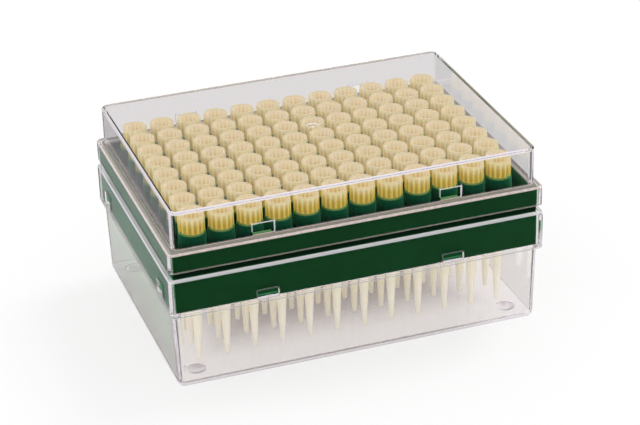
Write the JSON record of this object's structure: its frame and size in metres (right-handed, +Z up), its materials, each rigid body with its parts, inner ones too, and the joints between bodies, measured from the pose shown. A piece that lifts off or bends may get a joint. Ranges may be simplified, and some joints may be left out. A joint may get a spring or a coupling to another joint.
{
  "type": "box of pipette tips",
  "caption": "Clear lidded laboratory box with a green rack full of ribbed yellow pipette tips; the lid lifts straight off.",
  "frame": {"origin": "middle of the underside, on the surface that the box stands on", "axes": "+X along the long side, +Z up, -Y towards the front long side"},
  "size_m": [0.1208, 0.0864, 0.0591],
  "materials": {
    "clear_plastic": "clear and colourless, polished",
    "green_plastic": "opaque dark green, slightly glossy",
    "yellow_plastic": "translucent yellow, smooth"
  },
  "bodies": {
    "box": {"base": "clear_plastic", "rack_wall": "green_plastic", "rack_deck": "green_plastic", "tips_column_01": "yellow_plastic", "tips_column_02": "yellow_plastic", "tips_column_03": "yellow_plastic", "tips_column_04": "yellow_plastic", "tips_column_05": "yellow_plastic", "tips_column_06": "yellow_plastic", "tips_column_07": "yellow_plastic", "tips_column_08": "yellow_plastic", "tips_column_09": "yellow_plastic", "tips_column_10": "yellow_plastic", "tips_column_11": "yellow_plastic", "tips_column_12": "yellow_plastic"},
    "lid": {"lid": "clear_plastic"}
  },
  "joints": [
    {"name": "lid_lift", "type": "slide", "parent": "box", "child": "lid", "axis": [0, 0, 1], "range_m": [0, 0.04]}
  ]
}
